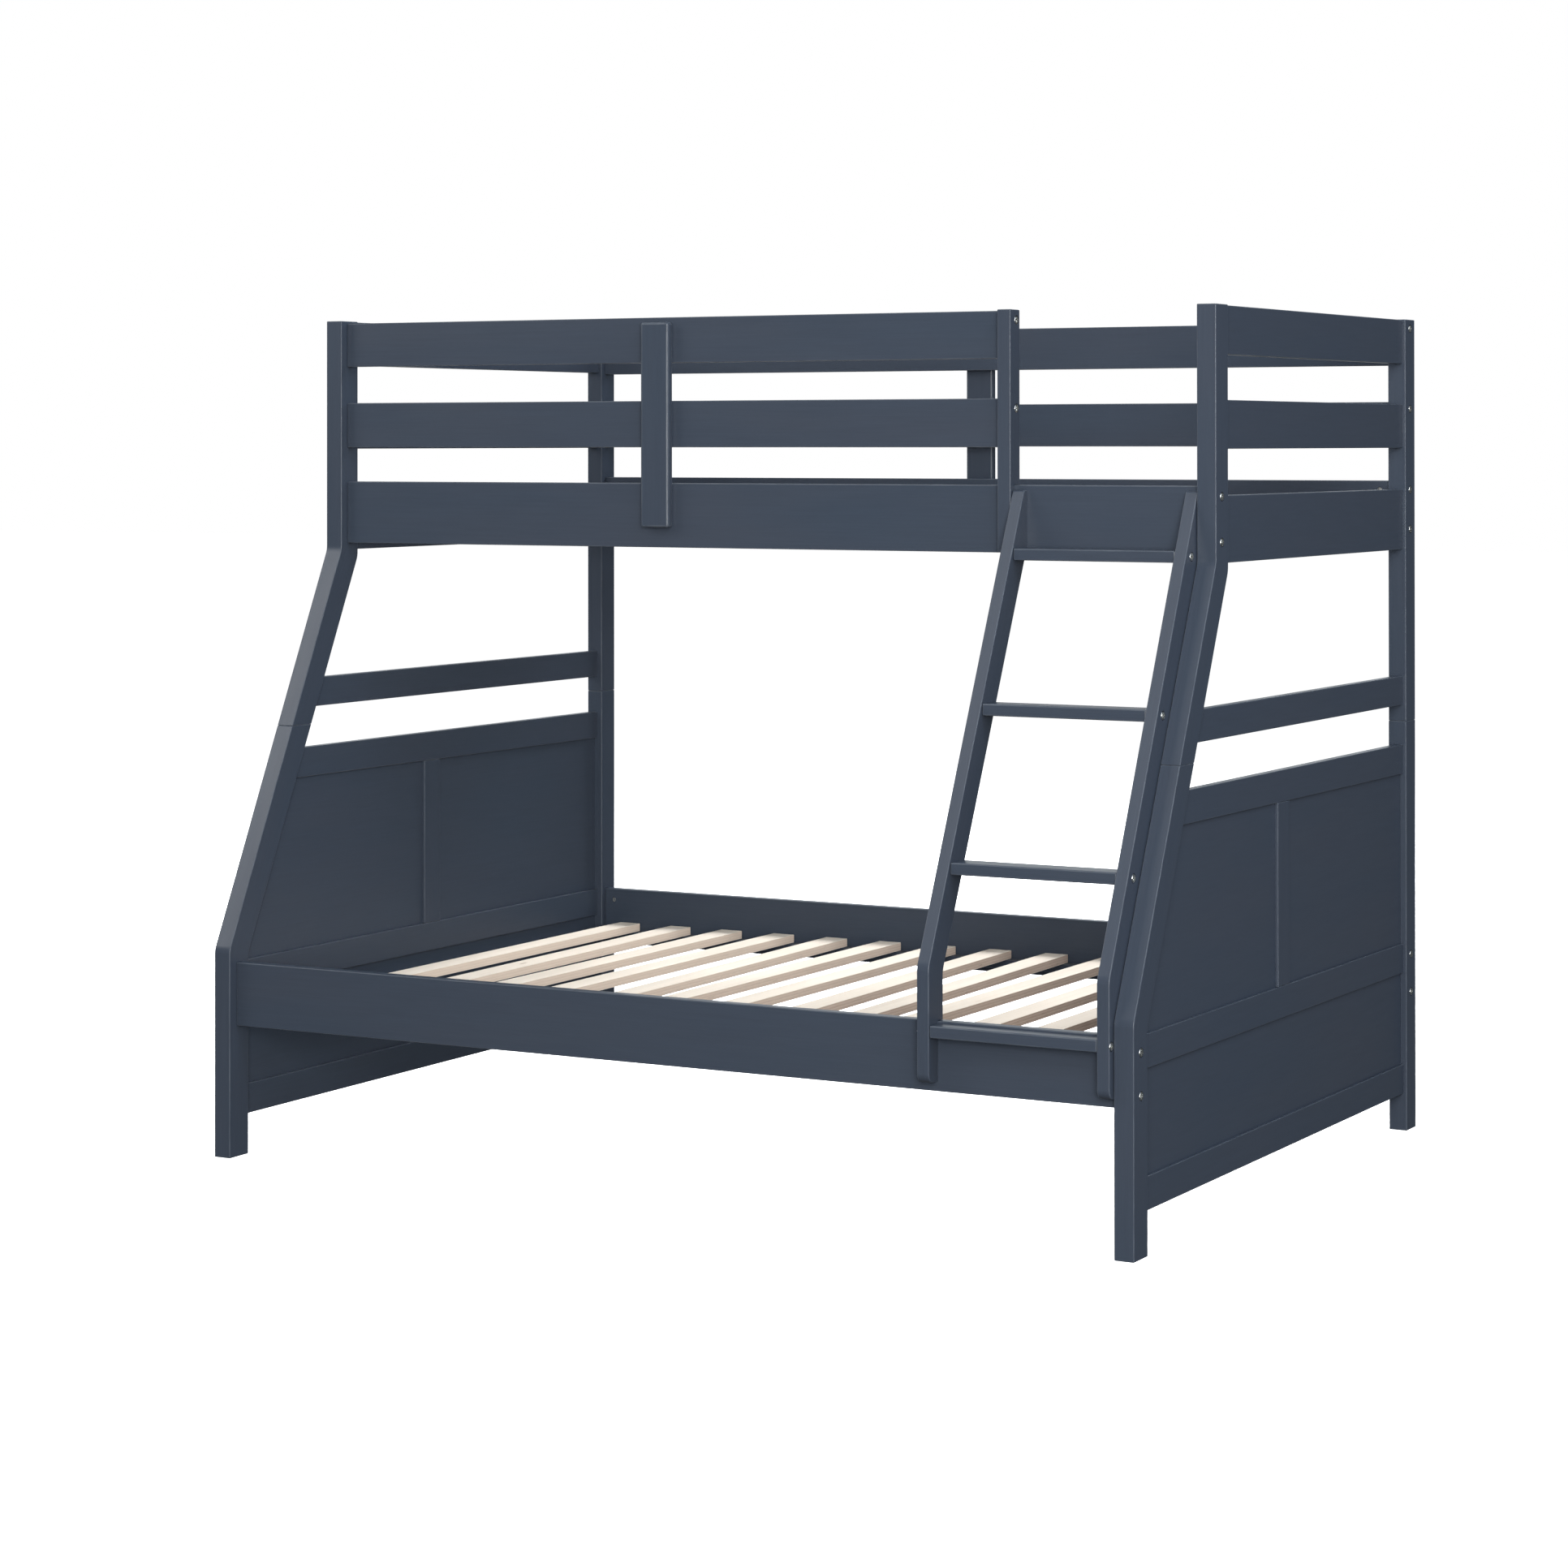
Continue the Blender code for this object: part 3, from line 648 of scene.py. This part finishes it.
def edge_radius(node):
    """The radius of one edge: the piece's own, but less round the seam and at the ladder's back."""
    usual = radius_of(node)[0]
    low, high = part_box(node)

    def radius(edge):
        heights = [v.co.z for v in edge.verts]
        depths = [v.co.y for v in edge.verts]
        if "_post_" in node and "guard" not in node:
            seam = high.z if node.startswith("lower") else low.z
            if all(abs(z - seam) < 1e-4 for z in heights):
                return 0.0018 if node.startswith("lower") else 0.0010
        if "stringer" in node:
            middle = centre_line(node, sum(heights) / 2)
            if middle is not None and sum(depths) / 2 > middle + 0.01:
                return 0.0018
        return usual

    return radius


def radius_of(node):
    """(radius of the eased edges, segments)."""
    if "_post_" in node:
        return 0.0017, 3
    if "support" in node:
        return 0.0050, 5
    if node == "front_guard_post":
        return 0.0017, 3
    if "stringer" in node:
        return 0.0026, 3
    if "rung" in node:
        return 0.0026, 3
    if "panel" in node:
        return 0.0004, 1
    if "ledger" in node:
        return 0.0015, 2
    if "stile" in node or "bottom_rail" in node or "mid_rail" in node or "end_top_rail" in node:
        return 0.0014, 3
    return 0.0018, 3


def axis_of(node):
    low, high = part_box(node)
    size = high - low
    return "xyz"[max(range(3), key=lambda i: size[i])]


METAL_NODES = [n for n in NODES if "_pin_" in n]
SLAT_NODES = [n for n in NODES if n.endswith("_slats")]
WOOD_NODES = [n for n in NODES if n not in METAL_NODES and n not in SLAT_NODES]

for index, node in enumerate(WOOD_NODES):
    radius, segments = radius_of(node)
    mesh = ease(node + "_board", solid_of(node), edge_radius(node), segments)
    holes = [(centre, -Vector(out), BOLT_BORE, 0.0060) for centre, out in bolt_points(node)]
    holes += [(centre, -Vector(out), NUT_BORE, 0.0045) for centre, out in NUTS.get(node, [])]
    mesh = bore(mesh, holes)
    bend = None
    if "front_post" in node or "stringer" in node:
        low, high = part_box(node)
        heights = np.linspace(low.z + 0.001, high.z - 0.001, 60)
        middles = [centre_line(node, z) for z in heights]
        bend = lambda z, h=heights, m=middles: float(np.interp(z, h, m))
    set_grain(mesh, axis_of(node), 100 + index, bend)
    add_object(node + "_board", mesh, BODY_OF[node], [PAINTED], [node])
    if bolt_points(node):
        add_bolts(node + "_bolts", BODY_OF[node], bolt_points(node), 300 + index)
    if node in NUTS:
        add_nuts(node + "_nuts", BODY_OF[node], NUTS[node], 400 + index)


# ------------------------------------------------------------------------- dowels, pins


for index, node in enumerate(METAL_NODES):
    low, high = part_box(node)
    size, centre = high - low, (low + high) / 2
    upright = size.z > size.y
    length = size.z if upright else size.y
    r = min(size) / 2
    solid = bmesh.new()
    basis = Matrix.Identity(4) if upright else Vector((0, -1, 0)).to_track_quat("Z", "X").to_matrix().to_4x4()
    place = Matrix.Translation(centre) @ basis
    h = length / 2
    profile = [(r - 0.0012, -h), (r - 0.0004, -h + 0.0006), (r, -h + 0.0016)]
    rings = 7
    for i in range(rings):
        # Shallow glue grooves round the shank.
        z = -h + 0.006 + (length - 0.012) * i / (rings - 1)
        profile += [(r, z - 0.0010), (r - 0.0003, z - 0.0005), (r - 0.0003, z + 0.0005), (r, z + 0.0010)]
    profile += [(r, h - 0.0016), (r - 0.0004, h - 0.0006), (r - 0.0012, h)]
    turned(solid, profile, place, 32)
    bmesh.ops.recalc_face_normals(solid, faces=solid.faces)
    mesh = bpy.data.meshes.new(node + "_turned")
    solid.to_mesh(mesh)
    solid.free()
    set_grain(mesh, "z", 500 + index)
    add_object(node + "_turned", mesh, BODY_OF[node], [ZINC], [node])


# --------------------------------------------------------------------------------- slats


def slat_tops(node):
    """The corners of each slat's top face, from left to right."""
    solid = solid_of(node)
    high = max(v.co.z for v in solid.verts)
    tops = []
    for face in solid.faces:
        if face.normal.z > 0.99 and all(high - v.co.z < 1e-4 for v in face.verts):
            tops.append([v.co.copy() for v in face.verts])
    low = min(v.co.z for v in solid.verts)
    solid.free()
    return sorted(tops, key=lambda c: sum(p.x for p in c) / len(c)), high, low


def slat_mesh(solid, corners, top, thick, shuffle):
    """One board: a rounded section swept along its length, with a slight bow."""
    corners = sorted(corners, key=lambda p: p.y)
    front = sum(corners[:2], Vector()) / 2
    back = sum(corners[-2:], Vector()) / 2
    along = back - front
    length = along.length
    along.normalize()
    across = Vector((along.y, -along.x, 0.0))
    width = abs((corners[1] - corners[0]).dot(across))
    half, r = width / 2, 0.0010
    section = []
    for cx, cz, start in (
        (half - r, -r, 0.0),
        (-half + r, -r, 90.0),
        (-half + r, -thick + r, 180.0),
        (half - r, -thick + r, 270.0),
    ):
        for step in range(3):
            a = math.radians(start + 45.0 * step)
            section.append((cx + r * math.cos(a), cz + r * math.sin(a)))
    count = 18
    bow, sag = shuffle.uniform(-0.0012, 0.0012), shuffle.uniform(0.0004, 0.0011)
    offset = [shuffle.uniform(3.0, 60.0), shuffle.uniform(3.0, 60.0), round(shuffle.uniform(3, 60)) * 0.006]
    grain = solid.verts.layers.float_vector["grain"]
    ply = solid.faces.layers.float["ply"]
    tone_and_painted_light = solid.faces.layers.float["tone_and_painted_light"]
    # Tone: a random part, plus painted light that falls from the left of the bed to the right.
    tone_and_painted_light_value = 0.5 - (front.x + back.x) / 2 / 1.6 + shuffle.uniform(-0.10, 0.10)
    tone_and_painted_light_value = min(1.0, max(0.0, tone_and_painted_light_value))
    rings = []
    for i in range(count + 1):
        t = i / count
        hump = 4 * t * (1 - t)
        ring = []
        inset = 0.0006 if i in (0, count) else 0.0
        for x, z in section:
            x2 = x - math.copysign(inset, x)
            place = front + along * (length * t) + across * (x2 + bow * hump)
            v = solid.verts.new((place.x, place.y, top + z - sag * hump))
            v[grain] = (length * t + offset[0], x + offset[1], z + thick + offset[2])
            ring.append(v)
        rings.append(ring)
    n = len(section)
    for low, high in zip(rings, rings[1:]):
        for i in range(n):
            j = (i + 1) % n
            face = solid.faces.new([low[i], low[j], high[j], high[i]])
            # Sides of the section: between the rounded corners at left and right.
            face[ply] = 1.0 if i in (2, 8, 11, 5) and abs(section[i][0] - section[j][0]) < r * 0.5 else 0.0
    for ring in (rings[0][::-1], rings[-1]):
        face = solid.faces.new(ring)
        face[ply] = 1.0
    for face in solid.faces:
        face[tone_and_painted_light] = tone_and_painted_light_value


def tape_mesh(solid, xs, y0, y1, top, thick):
    """A woven tape under the slats' ends."""
    grain = solid.verts.layers.float_vector["grain"]
    count = 160
    rings = []
    for i in range(count + 1):
        x = xs[0] + (xs[1] - xs[0]) * i / count
        ring = []
        for y, z in ((y0, top), (y1, top), (y1, top - thick), (y0, top - thick)):
            v = solid.verts.new((x, y, z))
            v[grain] = (x + 5.0, y + 5.0, z)
            ring.append(v)
        rings.append(ring)
    for low, high in zip(rings, rings[1:]):
        for i in range(4):
            j = (i + 1) % 4
            solid.faces.new([low[i], low[j], high[j], high[i]])
    solid.faces.new(rings[0][::-1])
    solid.faces.new(rings[-1])


for number, node in enumerate(SLAT_NODES):
    level = node.split("_")[0]
    body = BODY_OF[node]
    tops, high, low = slat_tops(node)
    thick = 0.0180
    shuffle = random.Random(700 + number)
    for i, corners in enumerate(tops):
        solid = bmesh.new()
        solid.verts.layers.float_vector.new("grain")
        solid.faces.layers.float.new("ply")
        solid.faces.layers.float.new("tone_and_painted_light")
        slat_mesh(solid, corners, high, thick, shuffle)
        bmesh.ops.recalc_face_normals(solid, faces=solid.faces)
        name = f"{level}_slat_{i + 1:02d}"
        mesh = bpy.data.meshes.new(name)
        solid.to_mesh(mesh)
        solid.free()
        add_object(name, mesh, body, [SLAT], [node])
    box_low, box_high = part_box(node)
    for where, y in (("front", box_low.y + 0.001), ("back", box_high.y - 0.017)):
        solid = bmesh.new()
        solid.verts.layers.float_vector.new("grain")
        tape_mesh(solid, (box_low.x + 0.006, box_high.x - 0.006), y, y + 0.016, high - thick - 0.0001, 0.0010)
        bmesh.ops.recalc_face_normals(solid, faces=solid.faces)
        name = f"{level}_slat_tape_{where}"
        mesh = bpy.data.meshes.new(name)
        solid.to_mesh(mesh)
        solid.free()
        add_object(name, mesh, body, [TAPE], [node])


# ------------------------------------------------------------------- floor, light, camera


def add_floor():
    n = Nodes("pale_floor")
    mottle = n.noise(n.scaled(n.tree.nodes.new("ShaderNodeTexCoord").outputs["Object"], (3.0, 3.0, 3.0)), detail=2.0)
    colour = n.mix(n.spread(mottle, 0.3, 0.7), (0.90, 0.90, 0.90), (0.92, 0.92, 0.92))
    n.finish(Base_Color=colour, Roughness=0.9, Specular_IOR_Level=0.0)
    n.shader.inputs["Emission Color"].default_value = (1.0, 1.0, 1.0, 1.0)
    n.shader.inputs["Emission Strength"].default_value = 0.98
    mesh = bpy.data.meshes.new("floor")
    solid = bmesh.new()
    bmesh.ops.create_grid(solid, x_segments=4, y_segments=4, size=40.0)
    solid.to_mesh(mesh)
    solid.free()
    mesh.materials.append(n.material)
    floor = bpy.data.objects.new("floor", mesh)
    bpy.context.scene.collection.objects.link(floor)
    floor.location.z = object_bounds()[0].z
    floor.visible_diffuse = False
    floor.visible_glossy = False


def add_area(name, toward, distance, size, power, colour, target=(0.0, 0.0, 0.85)):
    light = bpy.data.lights.new(name, "AREA")
    light.shape = "RECTANGLE"
    light.size, light.size_y = size
    light.energy = power
    light.color = colour
    lamp = bpy.data.objects.new(name, light)
    bpy.context.scene.collection.objects.link(lamp)
    direction = Vector(toward).normalized()
    lamp.location = Vector(target) + direction * distance
    lamp.rotation_euler = direction.to_track_quat("Z", "Y").to_euler()
    return lamp


def direction(azimuth, elevation):
    """Toward the light: azimuth from the front, positive to the right, in degrees."""
    a, e = math.radians(azimuth), math.radians(elevation)
    return (math.sin(a) * math.cos(e), -math.cos(a) * math.cos(e), math.sin(e))


FROM_BELOW, FROM_ABOVE = 0.36, 0.04


def add_world():
    world = bpy.data.worlds.new("studio")
    bpy.context.scene.world = world
    world.use_nodes = True
    tree = world.node_tree
    tree.nodes.clear()
    output = tree.nodes.new("ShaderNodeOutputWorld")
    lit = tree.nodes.new("ShaderNodeBackground")
    lit.inputs["Color"].default_value = (0.93, 0.99, 1.05, 1.0)
    # The pale floor sends more light up than the dim studio sends down.
    toward = tree.nodes.new("ShaderNodeTexCoord")
    height = tree.nodes.new("ShaderNodeSeparateXYZ")
    tree.links.new(toward.outputs["Generated"], height.inputs[0])
    share = tree.nodes.new("ShaderNodeMapRange")
    tree.links.new(height.outputs[2], share.inputs["Value"])
    for name, number in (("From Min", -0.02), ("From Max", 0.02), ("To Min", FROM_BELOW), ("To Max", FROM_ABOVE)):
        share.inputs[name].default_value = number
    tree.links.new(share.outputs["Result"], lit.inputs["Strength"])
    seen = tree.nodes.new("ShaderNodeBackground")
    seen.inputs["Color"].default_value = (1.0, 1.0, 1.0, 1.0)
    seen.inputs["Strength"].default_value = 1.0
    mirrored = tree.nodes.new("ShaderNodeBackground")
    mirrored.inputs["Color"].default_value = (0.93, 0.98, 1.0, 1.0)
    # A white backdrop behind, which only the upturned faces mirror at a low angle.
    toward_back = tree.nodes.new("ShaderNodeVectorMath")
    toward_back.operation = "DOT_PRODUCT"
    tree.links.new(toward.outputs["Generated"], toward_back.inputs[0])
    toward_back.inputs[1].default_value = (-0.477, 0.856, 0.20)
    backdrop = tree.nodes.new("ShaderNodeMapRange")
    tree.links.new(toward_back.outputs["Value"], backdrop.inputs["Value"])
    for name, number in (("From Min", 0.86), ("From Max", 0.96), ("To Min", 0.13), ("To Max", 1.0)):
        backdrop.inputs[name].default_value = number
    tree.links.new(backdrop.outputs["Result"], mirrored.inputs["Strength"])
    path = tree.nodes.new("ShaderNodeLightPath")
    glossy = tree.nodes.new("ShaderNodeMixShader")
    tree.links.new(path.outputs["Is Glossy Ray"], glossy.inputs[0])
    tree.links.new(lit.outputs[0], glossy.inputs[1])
    tree.links.new(mirrored.outputs[0], glossy.inputs[2])
    mix = tree.nodes.new("ShaderNodeMixShader")
    tree.links.new(path.outputs["Is Camera Ray"], mix.inputs[0])
    tree.links.new(glossy.outputs[0], mix.inputs[1])
    tree.links.new(seen.outputs[0], mix.inputs[2])
    tree.links.new(mix.outputs[0], output.inputs["Surface"])


def add_camera():
    yaw, pitch, roll = (math.radians(a) for a in (28.8547, -0.3337, -0.0528))
    forward = Vector((-math.sin(yaw) * math.cos(pitch), math.cos(yaw) * math.cos(pitch), -math.sin(pitch)))
    right = Vector((math.cos(yaw), math.sin(yaw), 0.0))
    up = right.cross(forward)
    side = right * math.cos(roll) + up * math.sin(roll)
    top = up * math.cos(roll) - right * math.sin(roll)
    camera = bpy.data.cameras.new("photo_view")
    camera.sensor_width = 36.0
    camera.lens = 84.855
    camera.shift_x, camera.shift_y = -0.00648, -0.23203
    camera.clip_start, camera.clip_end = 0.05, 200.0
    holder = bpy.data.objects.new("photo_view", camera)
    bpy.context.scene.collection.objects.link(holder)
    matrix = Matrix((side, top, -forward)).transposed().to_4x4()
    matrix.translation = Vector((3.6269, -6.7157, 1.4446))
    holder.matrix_world = matrix
    bpy.context.scene.camera = holder


add_floor()
add_world()
UNIT = math.pi ** 2
add_area("key_softbox", direction(-56.0, 27.0), 6.0, (2.4, 2.4), 0.37 * UNIT * 6.0 ** 2, (1.0, 1.0, 0.99))
add_area("fill_softbox", direction(40.0, 30.0), 6.5, (3.0, 3.0), 0.34 * UNIT * 6.5 ** 2, (1.0, 0.99, 0.97))
add_area("camera_softbox", direction(29.0, 8.0), 8.0, (3.0, 3.0), 1.28 * UNIT * 8.0 ** 2, (1.0, 0.98, 0.94))
add_area("high_left_softbox", direction(-31.0, 44.0), 6.5, (2.4, 2.4), 0.18 * UNIT * 6.5 ** 2, (1.0, 0.99, 0.97))
add_area("high_right_softbox", direction(64.0, 47.0), 6.5, (2.4, 2.4), 0.24 * UNIT * 6.5 ** 2, (0.90, 0.98, 1.08))
back = add_area("back_softbox", direction(180.0, 40.0), 6.5, (3.0, 3.0), 1.75 * UNIT * 6.5 ** 2, (0.98, 0.99, 1.02))
right = add_area("right_softbox", direction(85.0, 20.0), 6.5, (3.0, 3.0), 0.33 * UNIT * 6.5 ** 2, (0.84, 0.97, 1.14))
left = add_area("left_softbox", direction(-106.0, 8.0), 6.5, (3.0, 2.0), 0.85 * UNIT * 6.5 ** 2, (0.96, 0.99, 1.04))
top = add_area("top_softbox", direction(0.0, 89.9), 5.0, (4.0, 4.0), 0.35 * UNIT * 5.0 ** 2, (0.96, 0.99, 1.03))
for lamp in (back, right, left, top):
    lamp.visible_glossy = False
add_camera()
bpy.context.scene.view_settings.view_transform = "Standard"

bpy.context.view_layer.update()
